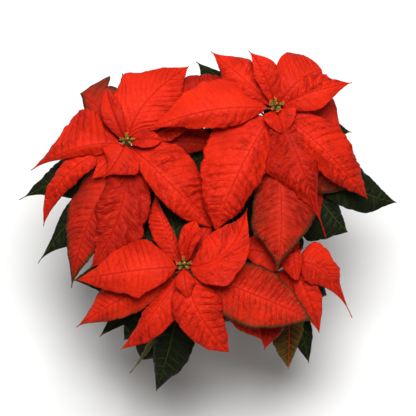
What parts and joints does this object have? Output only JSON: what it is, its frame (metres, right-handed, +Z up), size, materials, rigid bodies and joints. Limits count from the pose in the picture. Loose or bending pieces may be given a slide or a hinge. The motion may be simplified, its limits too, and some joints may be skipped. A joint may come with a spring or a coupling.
{
  "type": "potted poinsettia",
  "caption": "Potted poinsettia: leafy stems fork from one woody trunk, each topped by a star of broad pointed red bracts round small yellow-green flowers, over dark green leaves.",
  "frame": {"origin": "middle of the flat underside of the pot", "axes": "+Z up, +Y away from the viewer of the picture, +X to the viewer's right"},
  "size_m": [0.4375, 0.3699, 0.348],
  "materials": {
    "pot_plastic": "matte terracotta-coloured plastic",
    "peat": "rough damp peat",
    "bark": "rough green-brown bark",
    "leaf_green": "satin dark green leaf",
    "bract_red": "satin veined red bract",
    "flower_green": "satin yellow-green flower"
  },
  "bodies": {
    "root": {"pot": "pot_plastic", "soil": "peat", "trunk": "bark", "leafy_stem_nw": "leaf_green", "leafy_stem_ne": "leaf_green", "leafy_stem_s": "leaf_green", "leafy_stem_se": "leaf_green", "rosette_nw": "bract_red", "rosette_ne": "bract_red", "rosette_s": "bract_red", "rosette_se": "bract_red", "cyathia_nw": "flower_green", "cyathia_ne": "flower_green", "cyathia_s": "flower_green", "cyathia_se": "flower_green"}
  },
  "joints": []
}
